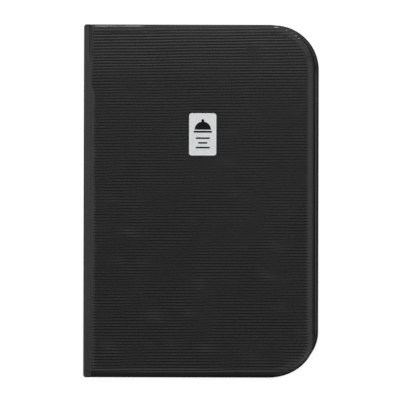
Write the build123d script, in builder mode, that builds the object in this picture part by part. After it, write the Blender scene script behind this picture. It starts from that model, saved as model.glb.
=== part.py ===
from build123d import *
import math
import os

# Menu cover for A4 sheets, closed and lying on its back cover.
# Millimetres. X runs from the spine to the fore edge, Y along the spine, Z up through the covers.
# The origin is in the middle of the outline, on the surface that the back cover lies on.

# Overall size
overall_width = 230.0
height = 345.0
panel_width = 218.0
fore_shift = 4.8  # the back cover lies this much further from the spine than the front cover
spine_x = -overall_width / 2
fore_corner_radius = 44.0
spine_corner_radius = 2.0

# Layers of one cover, from its inner face outwards
lining_thickness = 0.5
board_thickness = 2.0
foam_thickness = 1.2
skin_thickness = 0.8
cover_thickness = lining_thickness + board_thickness + foam_thickness + skin_thickness
insert_space = 2.0
closed_thickness = 2 * cover_thickness + insert_space
mid_height = closed_thickness / 2

# Padded edge of a cover: a wide shallow arc that runs into a tight one
roll_width = 7.0
roll_angle = 25.0
tight_roll_radius = 1.4
roll_sine = math.sin(math.radians(roll_angle))
wide_roll_radius = (roll_width - tight_roll_radius * (1 - roll_sine)) / roll_sine
inner_rim_radius = 1.2
hinge_rim_radius = 0.6

# Ribs pressed into the leatherette
rib_pitch = 2.9
groove_count = 115
groove_width = 2.2
groove_floor = 0.4
groove_depth = 0.4
groove_run_out = 3.0
rib_border = 7.0
rib_start = 2.6

# Turned-in edge of the skin, under the lining on the inside of a cover
turn_in_width = 14.0
turn_in_thickness = 0.3
lining_inset = 4.0

# Soft web of skin and lining that runs round the spine
web_drop = 0.7  # the web lies this much below the outer face of a cover
web_radius = 3.2
web_lining = 0.5
crease_width = 1.6
crease_depth = 0.35
crease_offset = 1.3
stiffener_thickness = 0.5
spine_lining_thickness = 0.4

# Metal plate on the front cover
plate_width = 27.0
plate_height = 41.5
plate_corner = 2.6
plate_thickness = 0.9
plate_bevel = 0.35
plate_centre = (1.4, 65.0)
pad_margin = 1.5
pad_thickness = 0.3
pad_corner = 1.5
inlay_depth = 0.3

# Serving dome, tray and three lines in the plate, measured from its middle
dome_radius = 8.0
dome_base = 4.6
knob_radius = 1.5
knob_height = 8.9
tray_width = 18.0
tray_thickness = 1.9
line_lengths = (14.0, 9.0, 14.0)
line_thickness = 1.6
first_line_y = -3.6
line_spacing = 4.6

# Clear insert with two pockets
film_thickness = 0.2
weld_width = 2.5
weld_height = 0.4
leaf_gap = 0.1
leaf_start = -111.3
leaf_end = 103.3
leaf_height = 303.0
leaf_corner = 3.0
mouth_step = 4.0  # the inner film of a pocket is cut this much lower at the open top
leaf_middle = (leaf_start + leaf_end) / 2
leaf_width = leaf_end - leaf_start
leaf_thickness = 2 * film_thickness + weld_height
strip_thickness = 2 * film_thickness
strip_neck_x = -111.9
strip_wall_x = -112.7
strip_half_height = 2.4
strip_bend = 0.25
tape_width = 2.6  # of the double-sided tape that holds the strip on the spine
tape_length = 291.0

# Places that follow from the sizes
half_height = height / 2
front_left = overall_width / 2 - fore_shift - panel_width
back_left = overall_width / 2 - panel_width
web_length = height - 2 * lining_inset
bend_x = spine_x + web_radius
web_top = closed_thickness - web_drop
flat_top = web_top - web_radius
flat_bottom = closed_thickness - flat_top
outer_face = Plane.XY.offset(cover_thickness)  # of a cover whose inner face is on XY
clearance = 1.0  # how far a cutting tool reaches past the part that it cuts

os.makedirs("parts", exist_ok=True)


def save(part, label):
    part.label = label
    export_step(part, f"parts/{label}.step")


# Covers


def panel_outline(inset, hinge_inset):
    """A cover's outline, drawn in from its three free edges and from its hinge edge."""
    half = half_height - inset
    right = panel_width - inset
    radius = fore_corner_radius - inset
    with BuildLine() as outline:
        bottom = Line((hinge_inset, -half), (right - radius, -half))
        low_corner = JernArc(bottom @ 1, (1, 0), radius, 90)
        fore_edge = Line(low_corner @ 1, (right, half - radius))
        high_corner = JernArc(fore_edge @ 1, (0, 1), radius, 90)
        top = Line(high_corner @ 1, (hinge_inset, half))
        Line(top @ 1, bottom @ 0)
    make_face(outline.edges())


def cut_padded_edge(depth):
    """Rolls off the free edges of the open part, along a surface this deep in the cover."""
    with BuildLine(outer_face) as path:
        bottom = Line((-clearance, -half_height), (panel_width - fore_corner_radius, -half_height))
        low_corner = JernArc(bottom @ 1, (1, 0), fore_corner_radius, 90)
        fore_edge = Line(low_corner @ 1, (panel_width, half_height - fore_corner_radius))
        high_corner = JernArc(fore_edge @ 1, (0, 1), fore_corner_radius, 90)
        Line(high_corner @ 1, (-clearance, half_height))
    with BuildSketch(Plane(origin=path.line @ 0, x_dir=(0, 1, 0), z_dir=(1, 0, 0))) as profile:
        with BuildLine():
            wide = JernArc((roll_width, -depth), (-1, 0), wide_roll_radius - depth, roll_angle)
            low = wide @ 1
            if depth == 0:
                tight = JernArc(wide @ 1, wide % 1, tight_roll_radius, 90 - roll_angle)
                low = tight @ 1
            above = (roll_width, clearance)
            Polyline(low, (-clearance, low.Y), (-clearance, clearance), above, wide @ 0)
        make_face()
    sweep(profile.sketch, path=path.line, mode=Mode.SUBTRACT)


def cut_hinge_rim():
    """Rounds the outer edge of the open part along the hinge."""
    with BuildSketch(Plane.XZ) as corner:
        with Locations((0, cover_thickness)):
            Rectangle(2 * hinge_rim_radius, 2 * hinge_rim_radius)
        with Locations((hinge_rim_radius, cover_thickness - hinge_rim_radius)):
            Circle(hinge_rim_radius, mode=Mode.SUBTRACT)
    extrude(corner.sketch, amount=height, both=True, mode=Mode.SUBTRACT)


def groove_comb_points():
    """The section across the ribs, from a strip above the outer face down into each groove."""
    first = -(groove_count - 1) / 2 * rib_pitch
    low_end = first - rib_pitch
    points = [(low_end, clearance), (low_end, clearance / 10)]
    for index in range(groove_count):
        y = first + index * rib_pitch
        points.append((y - groove_width / 2, 0))
        points.append((y - groove_floor / 2, -groove_depth))
        points.append((y + groove_floor / 2, -groove_depth))
        points.append((y + groove_width / 2, 0))
    points.append((-low_end, clearance / 10))
    points.append((-low_end, clearance))
    return points


def make_groove_tool():
    """The pressed grooves, which run out to nothing where the smooth border starts."""
    with BuildPart() as tool:
        with BuildSketch(Plane(origin=outer_face.origin, x_dir=(0, 1, 0), z_dir=(1, 0, 0))):
            with BuildLine():
                Polyline(*groove_comb_points(), close=True)
            make_face()
        extrude(amount=panel_width)
        with BuildSketch(outer_face.offset(-groove_depth), mode=Mode.PRIVATE) as floor:
            panel_outline(rib_border + groove_run_out, rib_start + groove_run_out)
        with BuildSketch(outer_face, mode=Mode.PRIVATE) as rim:
            panel_outline(rib_border, rib_start)
        loft(sections=[floor.sketch, rim.sketch], ruled=True, mode=Mode.INTERSECT)
    return tool


def make_board():
    with BuildPart() as board:
        with BuildSketch(Plane.XY.offset(lining_thickness)):
            panel_outline(skin_thickness, lining_thickness)
        extrude(amount=board_thickness)
    return board


def make_foam():
    with BuildPart() as foam:
        with BuildSketch(Plane.XY.offset(lining_thickness + board_thickness)):
            panel_outline(skin_thickness, lining_thickness + skin_thickness)
        extrude(amount=foam_thickness)
        cut_padded_edge(skin_thickness)
    return foam


def make_lining():
    """The lining: thin over the turned-in edge, full inside it, with a lip up the hinge edge."""
    film = lining_thickness - turn_in_thickness
    lip_height = cover_thickness - web_drop - skin_thickness
    with BuildPart() as lining:
        with BuildSketch(Plane.XY):
            panel_outline(lining_inset, 0)
        extrude(amount=film)
        with BuildSketch(Plane.XY.offset(film)):
            panel_outline(turn_in_width, 0)
        extrude(amount=turn_in_thickness)
        with BuildSketch(Plane.XY.offset(film)):
            with Locations((lining_thickness / 2, 0)):
                Rectangle(lining_thickness, height - 2 * turn_in_width)
        extrude(amount=lip_height - film)
    return lining


def make_skin(contents):
    """The ribbed leatherette, wrapped round its contents and turned in at the free edges."""
    with BuildPart() as skin:
        with BuildSketch(Plane.XY):
            panel_outline(0, 0)
        extrude(amount=cover_thickness)
        inner_face = skin.faces().sort_by(Axis.Z)[0]
        fillet(inner_face.edges().sort_by(Axis.X)[1:], radius=inner_rim_radius)
        cut_padded_edge(0)
        cut_hinge_rim()
        for piece in contents:
            add(piece.part, mode=Mode.SUBTRACT)
        add(make_groove_tool().part, mode=Mode.SUBTRACT)
    return skin


def make_cover():
    """The pieces of one cover, with the inner face on XY and the hinge edge on the Y axis."""
    board = make_board()
    foam = make_foam()
    lining = make_lining()
    skin = make_skin([board, foam, lining])
    return {"board": board, "foam": foam, "lining": lining, "skin": skin}


# Plate on the front cover


def serving_motif():
    """A plain serving dome on its tray over three short lines."""
    with Locations((0, dome_base)):
        Circle(dome_radius)
    with Locations((0, dome_base - dome_radius / 2)):
        Rectangle(2 * dome_radius, dome_radius, mode=Mode.SUBTRACT)
    with Locations((0, dome_base + knob_height)):
        Circle(knob_radius)
    with Locations((0, dome_base - tray_thickness)):
        SlotOverall(tray_width, tray_thickness)
    for line, length in enumerate(line_lengths):
        with Locations((0, first_line_y - line * line_spacing)):
            SlotOverall(length, line_thickness)


def make_plate(front_face):
    with BuildPart() as seat:
        with BuildSketch(front_face.offset(-pad_thickness)):
            RectangleRounded(plate_width - 2 * pad_margin, plate_height - 2 * pad_margin, pad_corner)
        extrude(amount=pad_thickness)
    save(seat.part, "plate_adhesive")

    with BuildPart() as inlay:
        with BuildSketch(front_face.offset(plate_thickness - inlay_depth)):
            serving_motif()
        extrude(amount=inlay_depth)
    save(inlay.part, "plate_inlay")

    with BuildPart() as plate:
        with BuildSketch(front_face):
            RectangleRounded(plate_width, plate_height, plate_corner)
        extrude(amount=plate_thickness)
        chamfer(plate.faces().sort_by(Axis.Z)[-1].edges(), length=plate_bevel)
        add(inlay.part, mode=Mode.SUBTRACT)
    save(plate.part, "emblem_plate")
    return seat


# Soft web round the spine


def web_corners(length):
    """Trims the open part to the rounded ends of the spine."""
    with BuildSketch(Plane.XY) as outline:
        Rectangle(overall_width, length)
        fillet(outline.vertices().group_by(Axis.X)[0], radius=spine_corner_radius)
    extrude(outline.sketch, amount=closed_thickness, mode=Mode.INTERSECT)


def make_hinge_strip(label, left_edge, top, turn, depth, thickness, length, crease):
    """A strip of the web from a cover's hinge edge, round the bend, to the flat of the spine.

    The turn is 1 at the front cover and -1 at the back cover. The depth is measured from the
    outer surface of the web to the outer surface of this strip.
    """
    middle_depth = depth + thickness / 2
    level = top - turn * middle_depth
    bend_radius = web_radius - middle_depth
    with BuildPart() as strip:
        with BuildSketch(Plane.XZ):
            with BuildLine():
                flat = Line((left_edge, level), (bend_x, level))
                JernArc(flat @ 1, (-1, 0), bend_radius, turn * 90)
            trace(line_width=thickness)
            if crease:
                crease_radius = (crease_width**2 / 4 + crease_depth**2) / (2 * crease_depth)
                rise = crease_radius - crease_depth
                with Locations((left_edge - crease_offset, top + turn * rise)):
                    Circle(crease_radius, mode=Mode.SUBTRACT)
        extrude(amount=length / 2, both=True)
        web_corners(length)
    save(strip.part, label)


def make_spine_layer(label, outer_x, thickness, length):
    """A layer on the flat of the spine, between its two bends."""
    with BuildPart() as layer:
        with BuildSketch(Plane.XZ):
            with Locations((outer_x + thickness / 2, mid_height)):
                Rectangle(thickness, flat_top - flat_bottom)
        extrude(amount=length / 2, both=True)
        web_corners(length)
    save(layer.part, label)


# Clear insert


def leaf_plane(outward):
    """The inner face of a pocket, next to the other pocket, with local Z towards its cover."""
    inner_z = mid_height + outward * leaf_gap
    return Plane(origin=(0, 0, inner_z), x_dir=(1, 0, 0), z_dir=(0, 0, outward))


def leaf_outline(plane, drop):
    """A pocket's outline, rounded at the fore edge and cut this much lower at the open top."""
    with Locations((leaf_middle, -plane.y_dir.Y * drop / 2)):
        Rectangle(leaf_width, leaf_height - drop)
    fillet(vertices().group_by(Axis.X)[-1], radius=leaf_corner)


def make_film(label, plane, level, drop):
    """One film of a pocket."""
    with BuildPart() as film:
        with BuildSketch(plane.offset(level)):
            leaf_outline(plane, drop)
        extrude(amount=film_thickness)
    save(film.part, label)


def make_weld(label, plane, centre, width, length):
    """A straight weld between the two films of a pocket, inside the pocket's outline."""
    with BuildPart() as weld:
        with BuildSketch(plane.offset(film_thickness)):
            leaf_outline(plane, mouth_step)
            with Locations(centre):
                Rectangle(width, length, mode=Mode.INTERSECT)
        extrude(amount=weld_height)
    save(weld.part, label)


def make_pocket(side, plane):
    """Two films, welded along the spine, along the fore edge and at the foot."""
    side_shift = (leaf_width - weld_width) / 2
    foot_y = -plane.y_dir.Y * (leaf_height - weld_width) / 2
    make_film(f"{side}_pocket_inner_film", plane, 0, mouth_step)
    make_film(f"{side}_pocket_outer_film", plane, film_thickness + weld_height, 0)
    for edge, shift in (("spine", -side_shift), ("fore", side_shift)):
        centre = (leaf_middle + shift, 0)
        make_weld(f"{side}_pocket_{edge}_weld", plane, centre, weld_width, leaf_height)
    foot_length = leaf_width - 2 * weld_width
    make_weld(f"{side}_pocket_foot_weld", plane, (leaf_middle, foot_y), foot_length, weld_width)


def make_insert_strip():
    """The welded strip that joins the two pockets, folded round the inside of the spine."""
    high = mid_height + strip_half_height
    low = mid_height - strip_half_height
    offset = leaf_gap + leaf_thickness / 2
    with BuildPart() as strip:
        with BuildSketch(Plane.XZ):
            with BuildLine():
                FilletPolyline(
                    (leaf_start, mid_height + offset),
                    (strip_neck_x, mid_height + offset),
                    (strip_neck_x, high),
                    (strip_wall_x, high),
                    (strip_wall_x, low),
                    (strip_neck_x, low),
                    (strip_neck_x, mid_height - offset),
                    (leaf_start, mid_height - offset),
                    radius=strip_bend,
                )
            trace(line_width=strip_thickness)
        extrude(amount=leaf_height / 2, both=True)
    save(strip.part, "insert_spine_strip")


def make_insert_tape(spine_face_x):
    """Double-sided tape between the inside of the spine and the strip of the insert."""
    strip_face_x = strip_wall_x - strip_thickness / 2
    with BuildPart() as tape:
        with BuildSketch(Plane.YZ.offset(spine_face_x)):
            with Locations((0, mid_height)):
                Rectangle(tape_length, tape_width)
        extrude(amount=strip_face_x - spine_face_x)
    save(tape.part, "insert_tape")


# Build

plate_seat = make_plate(Plane(origin=(*plate_centre, closed_thickness), z_dir=(0, 0, 1)))
cover = make_cover()
inner_level = insert_space / 2
for side, left_edge, outward in (("front", front_left, 1), ("back", back_left, -1)):
    inner_face = Plane((left_edge, 0, mid_height + outward * inner_level), (1, 0, 0), (0, 0, outward))
    for piece, builder in cover.items():
        placed = builder.part.moved(inner_face.location)
        if (side, piece) == ("front", "skin"):
            placed -= plate_seat.part
        save(placed, f"{side}_{piece}")

for side, left_edge, top, turn in (
    ("front", front_left, web_top, 1),
    ("back", back_left, closed_thickness - web_top, -1),
):
    make_hinge_strip(f"{side}_hinge_skin", left_edge, top, turn, 0, skin_thickness, height, True)
    make_hinge_strip(
        f"{side}_hinge_lining", left_edge, top, turn, skin_thickness, web_lining, web_length, False
    )

stiffener_x = spine_x + skin_thickness
lining_x = stiffener_x + stiffener_thickness
make_spine_layer("spine_skin", spine_x, skin_thickness, height)
make_spine_layer("spine_stiffener", stiffener_x, stiffener_thickness, web_length)
make_spine_layer("spine_lining", lining_x, spine_lining_thickness, web_length)

for side, outward in (("front", 1), ("back", -1)):
    make_pocket(side, leaf_plane(outward))
make_insert_strip()
make_insert_tape(lining_x + spine_lining_thickness)
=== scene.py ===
import math

import bmesh
import bpy
import numpy as np
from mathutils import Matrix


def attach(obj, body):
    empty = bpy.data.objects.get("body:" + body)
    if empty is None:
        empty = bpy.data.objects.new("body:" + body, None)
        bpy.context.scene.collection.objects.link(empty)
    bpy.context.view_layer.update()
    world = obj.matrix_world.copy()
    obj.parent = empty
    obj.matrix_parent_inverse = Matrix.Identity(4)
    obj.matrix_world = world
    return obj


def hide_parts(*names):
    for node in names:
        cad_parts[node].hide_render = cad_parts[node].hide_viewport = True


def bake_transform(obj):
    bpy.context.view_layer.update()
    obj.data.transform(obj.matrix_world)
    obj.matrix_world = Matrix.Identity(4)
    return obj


# Menu cover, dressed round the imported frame. Shapes are worked out in millimetres and put into
# Blender in metres. A cover has its own coordinates: x from its hinge edge to its fore edge, y along
# the spine to the head, and w from its inner face outwards.

MM = 0.001

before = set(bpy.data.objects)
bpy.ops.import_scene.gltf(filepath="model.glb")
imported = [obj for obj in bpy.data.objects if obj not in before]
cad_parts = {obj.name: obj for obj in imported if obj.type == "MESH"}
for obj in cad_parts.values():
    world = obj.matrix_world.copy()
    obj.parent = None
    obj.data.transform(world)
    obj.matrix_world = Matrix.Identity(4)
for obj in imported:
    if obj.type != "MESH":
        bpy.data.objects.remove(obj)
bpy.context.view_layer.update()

# Sizes that the shapes share with the frame. COVER is the thickness of a cover up to the tops of its
# ribs, and SKIN_INSIDE the height of the hidden side of its leatherette.
HALF_HEIGHT = 172.5
PANEL_WIDTH = 218.0
CORNER_RADIUS = 44.0
CORNER_X = PANEL_WIDTH - CORNER_RADIUS
CORNER_Y = HALF_HEIGHT - CORNER_RADIUS
CORNER_ARC = CORNER_RADIUS * math.pi / 2
COVER = 4.5
SKIN_INSIDE = 3.7
MID_HEIGHT = 5.5
FRONT_INNER_FACE = 6.5
FRONT_LEFT = -107.8
BACK_LEFT = -103.0
BACK_SHIFT = BACK_LEFT - FRONT_LEFT
LINING_INSET = 4.0
FRONT_BULGE = 2.25
BACK_DRAW = 1.9

# The soft web between a cover and the middle of the spine
WEB_TOP = 3.8
WEB_RADIUS = 3.2
WEB_BEND_X = -4.0
WEB_BEND_W = 0.6
WEB_END_W = -1.0
WEB_END_X = 0.7
SPINE_CORNER = 2.0

# The rolled free edge: a wide arc that starts ROLL_WIDTH in from the edge, then a tight one
ROLL_WIDTH = 7.0
WIDE_ROLL = 14.65
TIGHT_ROLL = 1.4
TIGHT_ROLL_W = 1.858
BORDER_DEPTH = 8.4
INNER_BORDER = 9.0

# Pressed ribs, and the pleats where the edge is turned in round a corner
RIB_PITCH = 2.89
RIB_TILT = 0.0125
RIB_FAN = 0.0015
RIB_SHIFT = 1.18
RIB_DEPTH = 0.5
GROOVE_HALF = 1.22
FLOOR_HALF = 0.12
PLEAT_RATE = 1.12
PLEAT_DEPTH = 0.65

# Places in the section across the free edge, panel_profile() and web_profile()
OUTER_POINTS = 16
PLEATED_POINTS = slice(20, 27)
LATE_POINTS = (26, 27, 28, 32, 33)

# The insert's films
LEAF_LEFT = -111.3
LEAF_RIGHT = 103.3
LEAF_HALF = 151.5
LEAF_CORNER = 3.0
MOUTH_STEP = 4.0
FILM_WAVE = 0.035
MOST_WAVE = 0.08
STRIP_THICKNESS = 0.4
STRIP_BEND = 0.28


# Numbers


def ease(value):
    """Smooth step from 0 to 1."""
    value = np.clip(value, 0.0, 1.0)
    return value * value * (3.0 - 2.0 * value)


def ramp(value, start, length):
    """Smooth step from 0 at start to 1 at start + length, whose length may be negative."""
    return ease((value - start) / length)


def waves(x, y, length_x, length_y, seed, count=9):
    """Smooth, repeatable irregularity of about -1 to 1 with these typical wavelengths."""
    dice = np.random.RandomState(seed)
    total = 0.0
    for _ in range(count):
        angle = dice.uniform(0, 2 * math.pi)
        stretch = dice.uniform(0.7, 1.6)
        phase = dice.uniform(0, 2 * math.pi)
        along = x * math.cos(angle) / length_x + y * math.sin(angle) / length_y
        total = total + np.cos(2 * math.pi * along * stretch + phase)
    return total / math.sqrt(count)


# Mesh building


class Shell:
    """Points and faces of one piece while it is put together."""

    def __init__(self):
        self.points = []
        self.faces = []
        self.count = 0

    def add(self, points):
        """Adds points, an array of shape (..., 3), and returns their numbers in the same layout."""
        points = np.asarray(points, float)
        numbers = np.arange(self.count, self.count + points[..., 0].size)
        self.points.append(points.reshape(-1, 3))
        self.count += numbers.size
        return numbers.reshape(points.shape[:-1])

    def face(self, numbers):
        self.faces.append([int(number) for number in numbers])

    def grid(self, numbers):
        """Quads between the neighbours in a grid of points."""
        corners = [numbers[:-1, :-1], numbers[1:, :-1], numbers[1:, 1:], numbers[:-1, 1:]]
        self.faces.extend(np.stack(corners, -1).reshape(-1, 4).tolist())

    def slab(self, upper, lower):
        """A closed slab between two grids of points in the same layout."""
        upper = self.add(upper)
        lower = self.add(lower)
        self.grid(upper)
        self.grid(lower)
        for end in (0, -1):
            self.grid(np.stack([upper[end], lower[end]]))
        for end in (0, -1):
            self.grid(np.stack([upper[:, end], lower[:, end]]))

    def zipper(self, low, low_places, high, high_places):
        """Triangles between two chains of points whose places along the seam rise."""
        i = j = 0
        while i < len(low) - 1 or j < len(high) - 1:
            step_low = j == len(high) - 1
            if not step_low and i < len(low) - 1:
                step_low = low_places[i + 1] <= high_places[j + 1]
            if step_low:
                self.face([low[i], low[i + 1], high[j]])
                i += 1
            else:
                self.face([low[i], high[j + 1], high[j]])
                j += 1

    def build(self, name, place=None, sharp=50.0):
        """Makes the object, with its faces turned outwards and smooth apart from real edges."""
        points = np.concatenate(self.points)
        if place is not None:
            points = place(points)
        mesh = bpy.data.meshes.new(name)
        mesh.from_pydata((points * MM).tolist(), [], self.faces)
        tidy = bmesh.new()
        tidy.from_mesh(mesh)
        bmesh.ops.recalc_face_normals(tidy, faces=tidy.faces)
        tidy.to_mesh(mesh)
        tidy.free()
        mesh.shade_smooth()
        mesh.set_sharp_from_angle(angle=math.radians(sharp))
        piece = bpy.data.objects.new(name, mesh)
        bpy.context.scene.collection.objects.link(piece)
        return piece


# From a cover's coordinates to the frame's


def foot_corner(points, push):
    """Moves the fore corner at the foot outwards by push, full at the edge and nothing further in.

    push gives the distance for each place round the corner, from 0 at the fore edge to 1 at the foot.
    """
    x, y = points[:, 0] - CORNER_X, -CORNER_Y - points[:, 1]
    reach = np.maximum(np.hypot(x, y), 1.0)
    turn = np.clip(np.arctan2(y, x) / (math.pi / 2), 0, 1)
    away = push(turn) * ramp(reach, 8, 34) / reach
    return points + np.stack([away * x, -away * y, 0 * away], -1)


def front_push(turn):
    """The front cover's corner stands out, mostly near the fore edge."""
    return FRONT_BULGE * np.sin(math.pi * turn**0.6) ** 2


def back_push(turn):
    """The back cover's corner is drawn in, so that the front one hides it."""
    return -BACK_DRAW * ramp(turn, 0, 0.5) * ease((1 - turn) * 5.6)


def front_place(points):
    return foot_corner(points, front_push) + [FRONT_LEFT, 0, FRONT_INNER_FACE]


def back_place(points):
    return foot_corner(points, back_push) * [1, 1, -1] + [BACK_LEFT, 0, COVER]


# Leatherette


def edge_distance(x, y):
    """Distance from the cover's free edge, in the plane of the cover."""
    y = np.abs(y)
    straight = np.minimum(PANEL_WIDTH - x, HALF_HEIGHT - y)
    arc = CORNER_RADIUS - np.hypot(x - CORNER_X, y - CORNER_Y)
    return np.where((x > CORNER_X) & (y > CORNER_Y), arc, straight)


def rib_relief(x, y, seed):
    """Height of the surface over the outer face, negative in the pressed grooves."""
    border = edge_distance(x, y)
    on_border = 0.14 + ramp(y, 130, 20)
    strength = on_border + (1 - on_border) * ramp(border, 4.6, 4.4)
    strength = strength * ramp(border, 0.6, 1.2)
    sharp_part = ramp(y, 105, 8) * ramp(y, 174, -6)
    start = 1.3 - 0.5 * sharp_part + 0.4 * waves(x * 0, y, 30, 22, seed + 1)
    run = 4.2 - 3.6 * sharp_part
    strength = strength * ramp(x, start, run)
    worn = 0.3 * ramp(waves(x, y, 46, 26, seed + 2), 0.5, 1.3)
    strength = strength * (1 - worn + 0.03 * waves(x, y, 30, 14, seed + 3))
    drift = 0.3 * waves(x, y, 110, 45, seed + 4) + 0.06 * waves(x, y, 40, 30, seed + 5)
    tilt = (RIB_TILT + RIB_FAN * y / HALF_HEIGHT) * (x - PANEL_WIDTH / 2)
    half_pitch = RIB_PITCH / 2
    from_groove = np.abs((y - tilt + drift + RIB_SHIFT + half_pitch) % RIB_PITCH - half_pitch)
    groove = np.clip((GROOVE_HALF - from_groove) / (GROOVE_HALF - FLOOR_HALF), 0, 1)
    return -RIB_DEPTH * strength * groove


def head_part(y):
    """1 towards the head, where the crease beside the spine is deepest, else 0."""
    return ramp(y, 118, 38)


def crease_depth(y):
    middle = ramp(y, 10, -10) * ramp(y, -76, 8)
    return 0.09 + 0.5 * head_part(y) - 0.2 * middle + 0.02 * waves(y * 0, y, 30, 35, 41)


def web_surface(x, y, seed):
    """Height of the outer surface between the bend at the spine and the first ribs."""
    rise = (COVER - WEB_TOP) * ramp(x, -0.55, 1.15)
    deep = head_part(y)
    reach = np.clip((x + 1.3 - 0.35 * deep) / (0.85 + 0.4 * deep), -1, 1)
    crease = crease_depth(y) * np.cos(reach * math.pi / 2) ** 2
    slack = 0.05 * waves(x, y, 12, 60, seed + 6) * ramp(x, 0.2, -1.0)
    return WEB_TOP + rise - crease + slack


def web_stations(shift):
    """Path of the outer surface from the middle of the spine to the cover, as (x, w, nx, nw)."""
    bend_x = WEB_BEND_X - shift
    path = [(bend_x - WEB_RADIUS, w, -1.0, 0.0) for w in (WEB_END_W, -0.5, 0.0)]
    for angle in np.linspace(180, 90, 11):
        across, up = math.cos(math.radians(angle)), math.sin(math.radians(angle))
        path.append((bend_x + WEB_RADIUS * across, WEB_BEND_W + WEB_RADIUS * up, across, up))
    for x in np.linspace(bend_x, -2.2, 3 + int(shift / 1.2))[1:]:
        path.append((float(x), WEB_TOP, 0.0, 1.0))
    for x in np.linspace(-2.05, 0.6, 18):
        path.append((float(x), WEB_TOP, 0.0, 1.0))
    return np.array(path)


def panel_profile():
    """Section across the free edge of a cover, as (d, w): d is the distance in from the edge.

    It runs over the outside, round the edge, in under the turned-in strip and back inside the skin.
    """
    points = []
    for d in (BORDER_DEPTH, 7.6, *np.arange(7.0, 1.9, -0.5), 1.6, 1.2, 0.81):
        sine = max(0.0, (ROLL_WIDTH - d) / WIDE_ROLL)
        points.append((d, COVER - WIDE_ROLL * (1 - math.sqrt(1 - sine * sine))))
    for angle in (41.0, 57.0, 73.0, 90.0):
        turn = math.radians(angle)
        points.append((TIGHT_ROLL * (1 - math.sin(turn)), TIGHT_ROLL_W + TIGHT_ROLL * math.cos(turn)))
    points += [(0.0, 1.72), (0.12, 1.36), (0.3, 1.2), (2.1, 0.08)]
    points += [(2.8, 0.0), (3.85, 0.0), (4.1, 0.2), (13.9, 0.2), (14.0, 0.5)]
    points += [(2.5, 0.52), (0.85, 1.5), (0.9, 2.52), (4.0, 3.3), (BORDER_DEPTH, SKIN_INSIDE)]
    return np.array(points)


def web_profile():
    """The same section where the leatherette is folded along the ends of the soft web, as (d, h)."""
    outer = [(d, 0.0) for d in panel_profile()[:OUTER_POINTS, 0]]
    outer[-1] = (outer[-1][0], -0.02)
    points = outer + [(0.4, -0.07), (0.16, -0.22), (0.04, -0.42), (0.0, -0.58)]
    points += [(0.02, -0.74), (0.1, -0.92), (0.28, -1.05), (0.55, -1.1)]
    points += [(2.4, -1.1), (3.85, -1.1), (4.0, -0.88), (7.0, -0.86), (7.1, -0.8)]
    points += [(5.0, -0.78), (3.0, -0.76), (3.5, -0.74), (6.0, -0.72), (BORDER_DEPTH, -0.7)]
    return np.array(points)


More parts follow.
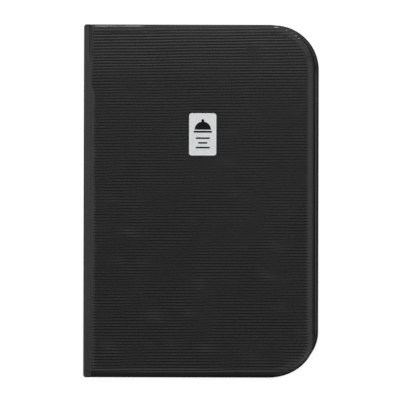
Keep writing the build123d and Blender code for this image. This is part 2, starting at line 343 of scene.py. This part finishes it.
def ring_sections(path, columns, seed):
    """Sections all the way round the free edge, from the spine's low end to its high end.

    Returns their points, in an array of shape (stations, points, 3), and their places along the edge.
    """
    panel = panel_profile()
    web = web_profile()
    flat = len(columns)
    straight_x = np.concatenate([path[:, 0], columns])
    straight_w = np.concatenate([path[:, 1], np.full(flat, COVER)])
    up_x = np.concatenate([path[:, 2], np.zeros(flat)])
    up_w = np.concatenate([path[:, 3], np.ones(flat)])
    steps = np.hypot(np.diff(straight_x), np.diff(straight_w))
    along = np.concatenate([[0], np.cumsum(steps)])
    end = along[-1]

    # The edge turns through the low corner, up the fore edge and through the high corner
    low_turn = np.linspace(-math.pi / 2, 0, 141)[1:]
    fore_rows = np.arange(-CORNER_Y, CORNER_Y + 0.01, 2 * CORNER_Y / 700)[1:]
    high_turn = np.linspace(0, math.pi / 2, 141)[1:-1]
    across = np.concatenate([np.cos(low_turn), np.ones(len(fore_rows)), np.cos(high_turn)])
    upward = np.concatenate([np.sin(low_turn), np.zeros(len(fore_rows)), np.sin(high_turn)])
    low_y, high_y = np.full(len(low_turn), -CORNER_Y), np.full(len(high_turn), CORNER_Y)
    centre_y = np.concatenate([low_y, fore_rows, high_y])
    places = np.concatenate([
        along,
        end + CORNER_RADIUS * (low_turn + math.pi / 2),
        end + CORNER_ARC + fore_rows + CORNER_Y,
        end + CORNER_ARC + 2 * CORNER_Y + CORNER_RADIUS * high_turn,
        2 * end - along[::-1] + 2 * CORNER_ARC + 2 * CORNER_Y,
    ])
    zeros, ones = np.zeros(len(across)), np.ones(len(across))

    def whole(straight, turned, mirror=1):
        return np.concatenate([straight, turned, mirror * straight[::-1]])

    x = whole(straight_x, CORNER_X + CORNER_RADIUS * across)
    y = whole(np.full(len(straight_x), -HALF_HEIGHT), centre_y + CORNER_RADIUS * upward, -1)
    w = whole(straight_w, COVER * ones)
    ux = whole(up_x, zeros)
    uw = whole(up_w, ones)
    inward_x = whole(np.zeros(len(straight_x)), -across)
    inward_y = whole(np.ones(len(straight_x)), -upward, -1)

    # The ends of the spine are cut to a small round
    spine_inset = SPINE_CORNER - (straight_x - straight_x[0])
    chord = np.sqrt(np.maximum(SPINE_CORNER**2 - spine_inset**2, 0))
    cut = whole(np.where(spine_inset > 0, SPINE_CORNER - chord, 0), zeros)[:, None]

    late = np.isin(np.arange(len(panel)), LATE_POINTS)[None, :]
    blend = np.where(late, ramp(x, -0.5, 3.0)[:, None], ramp(x, -2.2, 2.8)[:, None])
    d = panel[None, :, 0] * blend + web[None, :, 0] * (1 - blend)
    h = (panel[None, :, 1] - COVER) * blend + web[None, :, 1] * (1 - blend)
    d = d + cut * (1 - np.minimum(d / BORDER_DEPTH, 1))
    px = x[:, None] + inward_x[:, None] * d
    py = y[:, None] + inward_y[:, None] * d
    on_web = ((uw > 0.99) & (x < WEB_END_X))[:, None]
    web_w = web_surface(x[:, None] + 0 * d, py, seed)
    base_w = COVER + np.where(on_web, web_w - COVER, w[:, None] - COVER)
    outer = (np.arange(d.shape[1]) < OUTER_POINTS)[None, :]
    ribs = np.where(outer & (x[:, None] > WEB_END_X), rib_relief(px, py, seed), 0.0)

    round_corner = ramp(x, CORNER_X - 4, 10)[:, None] * ramp(np.abs(y), CORNER_Y - 8, 12)[:, None]
    fold = np.abs(np.sin(places * PLEAT_RATE + 0.9 * np.sin(places * 0.17 + seed)))[:, None]
    pleats = np.zeros(d.shape[1])
    pleats[PLEATED_POINTS] = (0.15, 0.5, 0.9, 1.0, 0.9, 0.5, 0.0)
    gathered = pleats[None, :] * round_corner * PLEAT_DEPTH * (0.5 - fold)
    px = px + ux[:, None] * (h + ribs)
    pw = base_w + uw[:, None] * (h + ribs) + gathered
    return np.stack([px, py, pw], -1), places


def make_leatherette(name, shift, seed, place):
    """One ribbed panel with its half of the soft spine, wrapped round the free edges."""
    shell = Shell()
    path = web_stations(shift)
    inner_y = HALF_HEIGHT - INNER_BORDER
    rows = np.linspace(-inner_y, inner_y, 903)
    web_rows = np.linspace(-inner_y, inner_y, 83)
    first_columns = [0.95, 1.3, 1.8, 2.4, 3.1, 4.0, 5.0, 6.2, 7.6, 9.5]
    columns = np.concatenate([first_columns, np.linspace(12.4, CORNER_X, 35)])
    fractions = np.array([0.14, 0.28, 0.42, 0.56, 0.7, 0.82, 0.92, 1.0])

    def ribbed_points(x, y):
        return np.stack([x, y, COVER + rib_relief(x, y, seed)], -1)

    # The soft web, the ribbed field and its wider part between the corners
    path_x = path[:, None, 0] + 0 * web_rows[None, :]
    path_w = path[:, None, 1] + 0 * web_rows[None, :]
    path_y = web_rows[None, :] + 0 * path_x
    path_w = np.where(path[:, None, 3] > 0.99, web_surface(path_x, path_y, seed), path_w)
    web = shell.add(np.stack([path_x, path_y, path_w], -1))
    shell.grid(web)

    grid_x = columns[None, :] + 0 * rows[:, None]
    ribbed = shell.add(ribbed_points(grid_x, rows[:, None] + 0 * grid_x))
    shell.grid(ribbed)
    shell.zipper(web[-1], web_rows, ribbed[:, 0], rows)

    over = np.maximum(np.abs(rows[1:-1]) - CORNER_Y, 0)
    row_reach = np.sqrt((CORNER_RADIUS - INNER_BORDER) ** 2 - over**2)
    corner_x = CORNER_X + fractions[None, :] * row_reach[:, None]
    corner = shell.add(ribbed_points(corner_x, rows[1:-1, None] + 0 * corner_x))
    joined = np.concatenate([ribbed[1:-1, -1:], corner], 1)
    shell.grid(joined)
    for tip, line in ((ribbed[0, -1], joined[0]), (ribbed[-1, -1], joined[-1])):
        for i in range(len(line) - 1):
            shell.face([tip, line[i], line[i + 1]])

    # The rolled edge, and its seam with the ribbed field
    sections, places = ring_sections(path, columns, seed)
    ring = shell.add(sections)
    shell.grid(ring)
    straight = len(path) + len(columns)
    end = places[straight - 1]
    y = rows[1:-1]
    low = end + CORNER_RADIUS * (np.arctan2(y + CORNER_Y, row_reach) + math.pi / 2)
    fore = end + CORNER_ARC + y + CORNER_Y
    high = end + CORNER_ARC + 2 * CORNER_Y + CORNER_RADIUS * np.arctan2(y - CORNER_Y, row_reach)
    turned_places = np.where(y < -CORNER_Y, low, np.where(y > CORNER_Y, high, fore))
    rim = np.concatenate([web[:, 0], ribbed[0], joined[:, -1], ribbed[-1, ::-1], web[::-1, -1]])
    rim_places = np.concatenate([places[:straight], turned_places, places[-straight:]])
    shell.zipper(rim, rim_places, ring[:, 0], places)

    # The hidden side, and the end at the middle of the spine
    inner = ring[:, -1]
    middle = shell.add(np.array([[CORNER_X, 0.0, SKIN_INSIDE]]))[0]
    for i in range(straight - 1):
        quad = [inner[i], inner[i + 1], inner[-2 - i], inner[-1 - i]]
        if i == straight - 2:
            quad.insert(2, middle)
        shell.face(quad)
    chain = inner[straight - 1 : len(inner) - straight + 1]
    for i in range(len(chain) - 1):
        shell.face([middle, chain[i], chain[i + 1]])
    shell.face([*ring[0], *ring[-1][::-1], *web[0, ::-1]])
    return shell.build(name, place)


# Lining


def round_bend(x, w, radius, angles, sign=1):
    """Stations (x, w, bx, bw) on a bend round (x, w), for angles from the cover's x direction."""
    stations = []
    for angle in angles:
        bx, bw = math.cos(math.radians(angle)), math.sin(math.radians(angle))
        stations.append((x + sign * radius * bx, w + sign * radius * bw, bx, bw))
    return stations


def lining_stations(shift):
    """Path of the lining's visible face from the fore edge to the middle of the spine.

    Each station is (x, w, bx, bw, half): b is the direction to its hidden side, half its reach in y.
    """
    radius = CORNER_RADIUS - LINING_INSET
    full = HALF_HEIGHT - LINING_INSET
    path = []
    for angle in np.linspace(90, 0, 28):
        turn = math.radians(angle)
        reach = CORNER_Y + radius * math.cos(turn)
        path.append((CORNER_X + radius * math.sin(turn), 0.0, 0.0, 1.0, reach))

    bend_x = WEB_BEND_X - shift
    flat_x = (150.0, 120.0, 90.0, 60.0, 30.0, 16.0, 15.0, 14.0, 13.0, 8.0, 3.0, 1.0, 0.5)
    rest = [(x, 0.0, 0.0, 1.0) for x in flat_x]
    rest += round_bend(0.4, 0.4, 0.4, (70.0, 45.0, 20.0), -1)
    rest += [(0.0, 0.6, 1.0, 0.0), (0.0, 1.8, 1.0, 0.0)]
    rest += round_bend(-0.5, 2.0, 0.5, (20.0, 45.0, 70.0))
    rest += [(float(x), 2.5, 0.0, 1.0) for x in np.linspace(-0.8, bend_x, 4 + int(shift / 1.5))]
    rest += round_bend(bend_x, WEB_BEND_W, 1.9, np.linspace(90, 180, 8)[1:])
    rest += [(bend_x - 1.8, 0.4, -1.0, 0.0), (bend_x - 1.55, 0.15, -1.0, 0.0)]
    rest += [(bend_x - 1.5, -0.3, -1.0, 0.0), (bend_x - 1.5, WEB_END_W, -1.0, 0.0)]
    return np.array(path + [(*station, full) for station in rest])


def end_dense(count):
    """Places from -1 to 1, closer together near the ends."""
    even = np.linspace(-1, 1, count)
    return np.sin(even * math.pi / 2) * 0.35 + even * 0.65


def make_lining(name, shift, seed, place):
    path = lining_stations(shift)
    on_panel = path[:, 0] > 0.2
    thickness = np.where(on_panel, 0.19, 0.44)
    x = path[:, None, 0] + 0 * end_dense(121)[None, :]
    y = path[:, None, 4] * end_dense(121)[None, :]
    w = path[:, None, 1] + 0 * x
    inside = ramp(edge_distance(x, y), 13.4, 1.4) * ramp(x, 0.8, 2.0)
    soft = 0.02 * waves(x, y, 60, 50, seed)
    lift = (0.09 * inside + 0.03 + soft) * ramp(x, 0.5, 2.0)
    layers = []
    for depth in (lift, thickness[:, None] + 0 * x):
        layers.append(np.stack([x + path[:, None, 2] * depth, y, w + path[:, None, 3] * depth], -1))
    shell = Shell()
    shell.slab(*layers)
    return shell.build(name, place)


# Boards


def make_board(name, place):
    """The stiff panel of a cover, bevelled inside where the leatherette rolls over its edge."""
    shell = Shell()
    loops = []
    for inset, w in ((2.6, 0.5), (0.9, 1.42), (0.8, 1.6), (0.8, 2.4), (0.9, 2.5)):
        radius = CORNER_RADIUS - inset
        left = 0.4 + 0.15 * inset
        half = HALF_HEIGHT - inset
        turn = np.linspace(-math.pi / 2, 0, 29)
        straight = np.linspace(left, CORNER_X, 8)[:-1]
        x = np.concatenate([straight, CORNER_X + radius * np.cos(turn)])
        y = np.concatenate([np.full(len(straight), -half), -CORNER_Y + radius * np.sin(turn)])
        x, y = np.concatenate([x, x[::-1]]), np.concatenate([y, -y[::-1]])
        loops.append(shell.add(np.stack([x, y, np.full(len(x), w)], -1)))
    loops = np.array(loops)
    shell.grid(np.concatenate([loops, loops[:, :1]], 1))
    shell.face(loops[0])
    shell.face(loops[-1])
    return shell.build(name, place, sharp=30)


# Foam pads


def make_foam(name, place):
    """A thin crowned pad whose edges are drawn down by the leatherette."""
    board_top = 2.52
    gap = 0.9
    rows = np.sin(np.linspace(-1, 1, 97) * math.pi / 2)
    left, right = 1.45, PANEL_WIDTH - gap
    share = 0.5 - 0.5 * np.cos(np.linspace(0, math.pi, 64))
    x = (left + (right - left) * share)[:, None] + 0 * rows[None, :]
    over = np.maximum(x - CORNER_X, 0)
    radius = CORNER_RADIUS - gap
    half = CORNER_Y + np.sqrt(np.maximum(radius**2 - over**2, 0))
    half = np.where(over > 0, half, HALF_HEIGHT - gap)
    y = half * rows[None, :]
    inset = np.minimum(edge_distance(x, y), x + 1.0)
    soft = 0.02 * (1 + waves(x, y, 28, 34, 71))
    crown = 0.35 + 0.78 * np.sqrt(ramp(inset, 0.7, 6.5)) - soft
    top = np.minimum(board_top + crown, 3.64)
    shell = Shell()
    shell.slab(np.stack([x, y, top], -1), np.stack([x, y, board_top + 0 * x], -1))
    return shell.build(name, place)


# Clear insert


def make_film(name, low, high, drop, seed):
    """One film of a pocket between two heights: nearly flat, with the waves of soft plastic."""
    rounded = LEAF_RIGHT - LEAF_CORNER * (1 - np.sin(np.linspace(0, math.pi / 2, 9)[1:]))
    columns = np.concatenate([np.linspace(LEAF_LEFT, LEAF_RIGHT - LEAF_CORNER, 90), rounded])
    rows = np.linspace(0, 1, 130)
    over = np.maximum(columns - (LEAF_RIGHT - LEAF_CORNER), 0)
    trim = LEAF_CORNER - np.sqrt(np.maximum(LEAF_CORNER**2 - over**2, 0))
    bottom = -LEAF_HALF + trim
    top = LEAF_HALF - drop - trim
    x = columns[:, None] + 0 * rows[None, :]
    y = bottom[:, None] + (top - bottom)[:, None] * rows[None, :]
    calm = ramp(x, LEAF_LEFT, 14) * ramp(x, LEAF_RIGHT, -14) * ramp(y, -LEAF_HALF, 14)
    lift = FILM_WAVE * (waves(x, y, 70, 90, seed) + 0.5 * waves(x, y, 28, 40, seed + 1)) * calm
    lift = np.clip(lift, -MOST_WAVE, MOST_WAVE)
    shell = Shell()
    shell.slab(np.stack([x, y, high + lift], -1), np.stack([x, y, low + lift], -1))
    return shell.build(name)


def make_strip_half(name, turn):
    """Half of the film strip that joins the two pockets round the inside of the spine."""
    corners = [(LEAF_LEFT, 0.5), (-111.9, 0.5), (-111.9, 2.4), (-112.7, 2.4), (-112.7, 0.0)]
    line = [corners[0]]
    for before, corner, after in zip(corners, corners[1:], corners[2:]):
        before, corner, after = (np.array(p) for p in (before, corner, after))
        start = corner + STRIP_BEND * (before - corner) / np.linalg.norm(before - corner)
        finish = corner + STRIP_BEND * (after - corner) / np.linalg.norm(after - corner)
        for step in np.linspace(0, 1, 5):
            bent = (1 - step) ** 2 * start + 2 * step * (1 - step) * corner + step**2 * finish
            line.append(tuple(bent))
    line += [(-112.7, 1.4), (-112.7, 0.7), corners[-1]]
    line = np.array(line)
    tangent = np.gradient(line, axis=0)
    tangent /= np.linalg.norm(tangent, axis=1)[:, None]
    normal = np.stack([-tangent[:, 1], tangent[:, 0]], -1)
    rows = np.linspace(-LEAF_HALF, LEAF_HALF - MOUTH_STEP, 60)
    layers = []
    for side in (0.5, -0.5):
        edge = line + normal * STRIP_THICKNESS * side
        x = edge[:, None, 0] + 0 * rows[None, :]
        z = MID_HEIGHT + turn * edge[:, None, 1] + 0 * x
        layers.append(np.stack([x, rows[None, :] + 0 * x, z], -1))
    shell = Shell()
    shell.slab(*layers)
    return shell.build(name)


# Materials


# Middle and half size of the emblem plate, and the width of its border band, which is painted
# brighter as a highlight
PLATE_MIDDLE = (0.0014, 0.065)
PLATE_HALF = (0.0135, 0.02075)
PLATE_BORDER = 0.0013


def new_material(name):
    """A material with its nodes, its links and its shader."""
    material = bpy.data.materials.new(name)
    material.use_nodes = True
    nodes = material.node_tree.nodes
    return material, nodes, material.node_tree.links, nodes["Principled BSDF"]


def place_of(nodes):
    return nodes.new("ShaderNodeTexCoord").outputs["Object"]


def arithmetic(nodes, links, operation, *values):
    """Output of a Math node whose inputs are sockets or numbers."""
    node = nodes.new("ShaderNodeMath")
    node.operation = operation
    for socket, value in zip(node.inputs, values):
        if isinstance(value, float):
            socket.default_value = value
        else:
            links.new(value, socket)
    return node.outputs["Value"]


def noise(nodes, links, vector, scale, detail=4.0, roughness=0.55):
    node = nodes.new("ShaderNodeTexNoise")
    node.inputs["Scale"].default_value = scale
    node.inputs["Detail"].default_value = detail
    node.inputs["Roughness"].default_value = roughness
    links.new(vector, node.inputs["Vector"])
    return node.outputs["Fac"]


def spread(nodes, links, value, low, high, start=0.25, end=0.75):
    """Maps a noise value onto a range of numbers."""
    node = nodes.new("ShaderNodeMapRange")
    node.inputs["From Min"].default_value = start
    node.inputs["From Max"].default_value = end
    node.inputs["To Min"].default_value = low
    node.inputs["To Max"].default_value = high
    links.new(value, node.inputs["Value"])
    return node.outputs["Result"]


def colours(nodes, links, value, dark, light, start=0.3, end=0.7):
    """Maps a noise value onto two colours."""
    node = nodes.new("ShaderNodeValToRGB")
    node.color_ramp.elements[0].position = start
    node.color_ramp.elements[0].color = (*dark, 1)
    node.color_ramp.elements[1].position = end
    node.color_ramp.elements[1].color = (*light, 1)
    links.new(value, node.inputs["Fac"])
    return node.outputs["Color"]


def bump(nodes, links, height, distance, strength=1.0, normal=None):
    node = nodes.new("ShaderNodeBump")
    node.inputs["Distance"].default_value = distance
    node.inputs["Strength"].default_value = strength
    links.new(height, node.inputs["Height"])
    if normal is not None:
        links.new(normal, node.inputs["Normal"])
    return node.outputs["Normal"]


def grain(nodes, links, vector, scale):
    """Pebble grain of pressed leatherette: cells with soft valleys between them."""
    node = nodes.new("ShaderNodeTexVoronoi")
    node.feature = "DISTANCE_TO_EDGE"
    node.inputs["Scale"].default_value = scale
    node.inputs["Randomness"].default_value = 0.9
    links.new(vector, node.inputs["Vector"])
    return spread(nodes, links, node.outputs["Distance"], 0.0, 1.0, 0.0, 0.28)


def leather_material(name, dark, light, rough, grain_scale, grain_depth, level):
    material, nodes, links, shader = new_material(name)
    place = place_of(nodes)
    fine = noise(nodes, links, place, 5200, 3.0, 0.6)
    wide = noise(nodes, links, place, 38, 5.0, 0.6)
    shader.inputs["Specular IOR Level"].default_value = level
    links.new(colours(nodes, links, wide, dark, light), shader.inputs["Base Color"])
    links.new(spread(nodes, links, wide, rough - 0.04, rough + 0.05), shader.inputs["Roughness"])
    cells = grain(nodes, links, place, grain_scale)
    first = bump(nodes, links, cells, grain_depth, 0.8)
    links.new(bump(nodes, links, fine, grain_depth * 0.5, 0.5, first), shader.inputs["Normal"])
    return material


def band_round(nodes, links, place, middle, half, width):
    """1 in a band of this width round the edge of a rectangle in the plane of the cover, else 0."""
    parts = nodes.new("ShaderNodeSeparateXYZ")
    links.new(place, parts.inputs["Vector"])
    depths = []
    for axis, centre, reach in zip("XY", middle, half):
        offset = arithmetic(nodes, links, "SUBTRACT", parts.outputs[axis], centre)
        away = arithmetic(nodes, links, "ABSOLUTE", offset)
        depths.append(arithmetic(nodes, links, "SUBTRACT", away, reach - width))
    outer = arithmetic(nodes, links, "MAXIMUM", *depths)
    return spread(nodes, links, outer, 0.0, 1.0, 0.0, 0.0002)


def metal_material():
    """Satin plate whose border band is painted brighter, a painted highlight for the light on its
    bevelled rim, with a fine line where the border starts.
    """
    material, nodes, links, shader = new_material("plate_brushed_metal")
    place = place_of(nodes)
    border = band_round(nodes, links, place, PLATE_MIDDLE, PLATE_HALF, PLATE_BORDER)
    stretch = nodes.new("ShaderNodeMapping")
    stretch.inputs["Scale"].default_value = (14000, 120, 400)
    links.new(place, stretch.inputs["Vector"])
    lines = noise(nodes, links, stretch.outputs["Vector"], 1.0, 3.0, 0.6)
    cloud = noise(nodes, links, place, 160, 3.0, 0.5)
    shader.inputs["Metallic"].default_value = 1.0
    field = colours(nodes, links, cloud, (0.69, 0.705, 0.71), (0.74, 0.755, 0.76))
    # The border band's brighter colour is a painted highlight that stands in for the light on the
    # plate's bevelled rim
    rim_highlight_mix = nodes.new("ShaderNodeMix")
    rim_highlight_mix.data_type = "RGBA"
    rim_highlight_mix.inputs["B"].default_value = (0.82, 0.83, 0.83, 1)
    links.new(border, rim_highlight_mix.inputs["Factor"])
    links.new(field, rim_highlight_mix.inputs["A"])
    links.new(rim_highlight_mix.outputs["Result"], shader.inputs["Base Color"])
    links.new(spread(nodes, links, lines, 0.3, 0.42), shader.inputs["Roughness"])
    edge = bump(nodes, links, border, 0.00005, 0.5)
    links.new(bump(nodes, links, lines, 0.000004, 0.6, edge), shader.inputs["Normal"])
    return material


def enamel_material():
    material, nodes, links, shader = new_material("plate_enamel")
    place = place_of(nodes)
    cloud = noise(nodes, links, place, 420, 3.0, 0.5)
    tones = colours(nodes, links, cloud, (0.003, 0.003, 0.0035), (0.006, 0.006, 0.0065))
    shader.inputs["Specular IOR Level"].default_value = 0.1
    links.new(tones, shader.inputs["Base Color"])
    links.new(spread(nodes, links, cloud, 0.2, 0.32), shader.inputs["Roughness"])
    links.new(bump(nodes, links, cloud, 0.00002, 0.4), shader.inputs["Normal"])
    return material


def board_material():
    material, nodes, links, shader = new_material("greyboard_fibre")
    place = place_of(nodes)
    fibres = noise(nodes, links, place, 900, 8.0, 0.7)
    tones = colours(nodes, links, fibres, (0.27, 0.25, 0.22), (0.42, 0.4, 0.36))
    links.new(tones, shader.inputs["Base Color"])
    shader.inputs["Roughness"].default_value = 0.92
    links.new(bump(nodes, links, fibres, 0.00005, 0.7), shader.inputs["Normal"])
    return material


def foam_material():
    material, nodes, links, shader = new_material("foam_cells")
    place = place_of(nodes)
    cells = grain(nodes, links, place, 2200)
    cloud = noise(nodes, links, place, 60, 3.0, 0.5)
    tones = colours(nodes, links, cloud, (0.66, 0.66, 0.62), (0.8, 0.8, 0.76))
    links.new(tones, shader.inputs["Base Color"])
    shader.inputs["Roughness"].default_value = 0.95
    links.new(bump(nodes, links, cells, 0.0001, 0.8), shader.inputs["Normal"])
    return material


def adhesive_material():
    material, nodes, links, shader = new_material("adhesive_film")
    place = place_of(nodes)
    streaks = noise(nodes, links, place, 700, 5.0, 0.6)
    tones = colours(nodes, links, streaks, (0.42, 0.42, 0.41), (0.56, 0.56, 0.55))
    links.new(tones, shader.inputs["Base Color"])
    shader.inputs["Roughness"].default_value = 0.6
    links.new(bump(nodes, links, streaks, 0.00003, 0.6), shader.inputs["Normal"])
    return material


def film_material(name, clear, rough, pattern):
    """Clear soft plastic. A weld is cloudier, with the fine cross lines of the welding tool."""
    material, nodes, links, shader = new_material(name)
    place = place_of(nodes)
    cloud = noise(nodes, links, place, 55, 4.0, 0.5)
    tones = colours(nodes, links, cloud, (0.93, 0.95, 0.955), (0.97, 0.98, 0.985))
    links.new(tones, shader.inputs["Base Color"])
    shader.inputs["Roughness"].default_value = rough
    shader.inputs["Transmission Weight"].default_value = clear
    shader.inputs["IOR"].default_value = 1.45
    if pattern:
        stripes = nodes.new("ShaderNodeTexWave")
        stripes.bands_direction = "DIAGONAL"
        stripes.inputs["Scale"].default_value = 420
        stripes.inputs["Distortion"].default_value = 0.4
        links.new(place, stripes.inputs["Vector"])
        relief = bump(nodes, links, stripes.outputs["Fac"], 0.00008, 0.9)
    else:
        relief = bump(nodes, links, cloud, 0.0002, 0.3)
    links.new(relief, shader.inputs["Normal"])
    return material


def dress_node(name, material):
    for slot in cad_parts[name].material_slots:
        slot.link = "OBJECT"
        slot.material = material


def finish_piece(piece, material, slot, *replaced):
    """Gives a piece its material and hides the solids that it stands for; slot is not used."""
    piece.data.materials.clear()
    piece.data.materials.append(material)
    if replaced:
        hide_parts(*replaced)


leather = leather_material(
    "leatherette",
    dark=(0.007, 0.007, 0.0073),
    light=(0.009, 0.009, 0.0093),
    rough=0.24,
    grain_scale=1150,
    grain_depth=0.000005,
    level=0.5,
)
lining_leather = leather_material(
    "lining_leatherette",
    dark=(0.014, 0.014, 0.0145),
    light=(0.02, 0.02, 0.021),
    rough=0.55,
    grain_scale=1900,
    grain_depth=0.00003,
    level=0.3,
)
greyboard = board_material()
foam_cells = foam_material()
adhesive = adhesive_material()
film = film_material("clear_film", clear=1.0, rough=0.06, pattern=False)
weld = film_material("film_weld", clear=0.9, rough=0.35, pattern=True)


# Pieces


dress_node("spine_stiffener", greyboard)
for name in ("insert_tape", "plate_adhesive"):
    dress_node(name, adhesive)
dress_node("emblem_plate", metal_material())
dress_node("plate_inlay", enamel_material())
for side in ("front", "back"):
    for edge in ("spine", "fore", "foot"):
        dress_node(f"{side}_pocket_{edge}_weld", weld)

# For each cover: the shift of its hinge edge, its seed, its place, the way its pocket lies from the
# middle, and the two places between which its hinge bends
SIDES = {
    "front": (0.0, 11, front_place, 1, (-111.6, 0, 10.3), (-115.0, 0, 7.0)),
    "back": (BACK_SHIFT, 57, back_place, -1, (-111.6, 0, 0.7), (-115.0, 0, 4.0)),
}
# For each film of a pocket: its two heights from the middle, how far it stops short of the head, and
# what its seed adds
FILMS = {"inner": (0.1, 0.3, MOUTH_STEP, 30), "outer": (0.7, 0.9, 0.0, 34)}

for side, (shift, seed, place, turn, bend_start, bend_end) in SIDES.items():
    # A solid that both halves of the spine stand for is named by one of them
    spine_skin = ["spine_skin"] if side == "back" else []
    spine_lining = ["spine_lining"] if side == "back" else []
    spine_strip = ["insert_spine_strip"] if side == "front" else []

    cover = make_leatherette(f"{side}_leatherette", shift, seed, place)
    finish_piece(cover, leather, "leatherette", f"{side}_skin", f"{side}_hinge_skin", *spine_skin)
    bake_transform(cover)

    inside = make_lining(f"{side}_lining_sheet", shift, seed + 20, place)
    lined = [f"{side}_lining", f"{side}_hinge_lining", *spine_lining]
    finish_piece(inside, lining_leather, "lining", *lined)
    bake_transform(inside)

    panel = make_board(f"{side}_board_panel", place)
    finish_piece(panel, greyboard, "greyboard", f"{side}_board")
    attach(panel, f"{side}_cover")

    pad = make_foam(f"{side}_foam_pad", place)
    finish_piece(pad, foam_cells, "foam", f"{side}_foam")
    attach(pad, f"{side}_cover")

    for layer, (near, far, drop, extra) in FILMS.items():
        low, high = sorted((MID_HEIGHT + turn * near, MID_HEIGHT + turn * far))
        clear = make_film(f"{side}_{layer}_film", low, high, drop, seed + extra)
        finish_piece(clear, film, "clear_film", f"{side}_pocket_{layer}_film")
        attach(clear, f"{side}_pocket")

    strip = make_strip_half(f"{side}_spine_strip", turn)
    finish_piece(strip, film, "clear_film", *spine_strip)
    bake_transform(strip)


# Floor, light and camera


FLOOR_REACH = 6.0
FLOOR_DROP = 0.0004
IMAGE_SPAN = 0.3906
COVER_TOP = 0.011
LENS = 200.0
SENSOR = 36.0

# For each lamp: its place, the point that it faces, its width, its height and its radiance
LAMPS = {
    "ceiling_light": ((0.55, 0.52, 2.6), (0.55, 0.52, 0), 5.1, 1.8, 1.0),
    "right_light": ((1.75, -1.25, 2.6), (1.75, -1.25, 0), 2.3, 1.3, 1.3),
    "window_light": ((-0.3, 0.85, 0.6), (-0.3, 0.15, 0), 1.5, 0.3, 0.5),
    "edge_light": ((0, 0.262, 0.085), (0, 0.17, 0), 0.6, 0.05, 1.3),
    "back_light": ((-0.6, 2.2, 0.42), (-0.6, 0.17, 0), 2.8, 0.75, 1.6),
    "left_light": ((-2.2, 0, 1.3), (0, 0, 0), 3.0, 1.5, 1.3),
    "low_light": ((-0.5, -1.8, 2.6), (-0.5, -1.8, 0), 2.2, 1.3, 0.12),
}


def add_object(name, data):
    thing = bpy.data.objects.new(name, data)
    bpy.context.scene.collection.objects.link(thing)
    return thing


def white_where_seen(nodes, links, camera_level, mirror_level):
    """Strength of the plain white that the camera, and clear or glossy pieces, see of a floor."""
    path = nodes.new("ShaderNodeLightPath")
    seen = arithmetic(nodes, links, "MULTIPLY", path.outputs["Is Camera Ray"], camera_level)
    for ray in ("Is Glossy Ray", "Is Transmission Ray"):
        share = arithmetic(nodes, links, "MULTIPLY", path.outputs[ray], mirror_level)
        seen = arithmetic(nodes, links, "MAXIMUM", seen, share)
    return seen


def make_floor():
    mesh = bpy.data.meshes.new("floor")
    signs = ((-1, -1), (1, -1), (1, 1), (-1, 1))
    mesh.from_pydata([(FLOOR_REACH * x, FLOOR_REACH * y, 0) for x, y in signs], [], [(0, 1, 2, 3)])
    material, nodes, links, shader = new_material("floor_paper")
    shader.inputs["Base Color"].default_value = (0.35, 0.35, 0.35, 1)
    shader.inputs["Roughness"].default_value = 0.9
    shader.inputs["Specular IOR Level"].default_value = 0.0
    shader.inputs["Emission Color"].default_value = (1, 1, 1, 1)
    links.new(white_where_seen(nodes, links, 0.85, 0.1), shader.inputs["Emission Strength"])
    mesh.materials.append(material)
    floor = add_object("floor", mesh)
    floor.location.z = -FLOOR_DROP
    return floor


def make_sky():
    """A studio that is white to the camera and dim as a light."""
    world = bpy.data.worlds.new("studio")
    bpy.context.scene.world = world
    world.use_nodes = True
    nodes, links = world.node_tree.nodes, world.node_tree.links
    nodes["Background"].inputs["Color"].default_value = (1, 1, 1, 1)
    path = nodes.new("ShaderNodeLightPath")
    level = nodes.new("ShaderNodeMapRange")
    level.inputs["To Min"].default_value = 0.1
    level.inputs["To Max"].default_value = 1.0
    links.new(path.outputs["Is Camera Ray"], level.inputs["Value"])
    links.new(level.outputs["Result"], nodes["Background"].inputs["Strength"])


def soft_light(name, place, target, width, height, level):
    """An area lamp of this radiance, aimed at a point."""
    lamp = bpy.data.lights.new(name, "AREA")
    lamp.shape = "RECTANGLE"
    lamp.size = width
    lamp.size_y = height
    lamp.energy = level * math.pi * width * height
    holder = add_object(name, lamp)
    holder.location = place
    aim = holder.location - type(holder.location)(target)
    holder.rotation_euler = aim.to_track_quat("Z", "Y").to_euler()
    holder.visible_camera = False


make_floor()
make_sky()
for name, values in LAMPS.items():
    soft_light(name, *values)

camera = bpy.data.cameras.new("camera")
camera.lens = LENS
camera.sensor_width = SENSOR
viewer = add_object("camera", camera)
viewer.location = (-0.00113, 0.00105, COVER_TOP + IMAGE_SPAN * LENS / SENSOR)
viewer.rotation_euler = (0, 0, math.radians(0.15))
bpy.context.scene.camera = viewer
bpy.context.scene.view_settings.view_transform = "Standard"
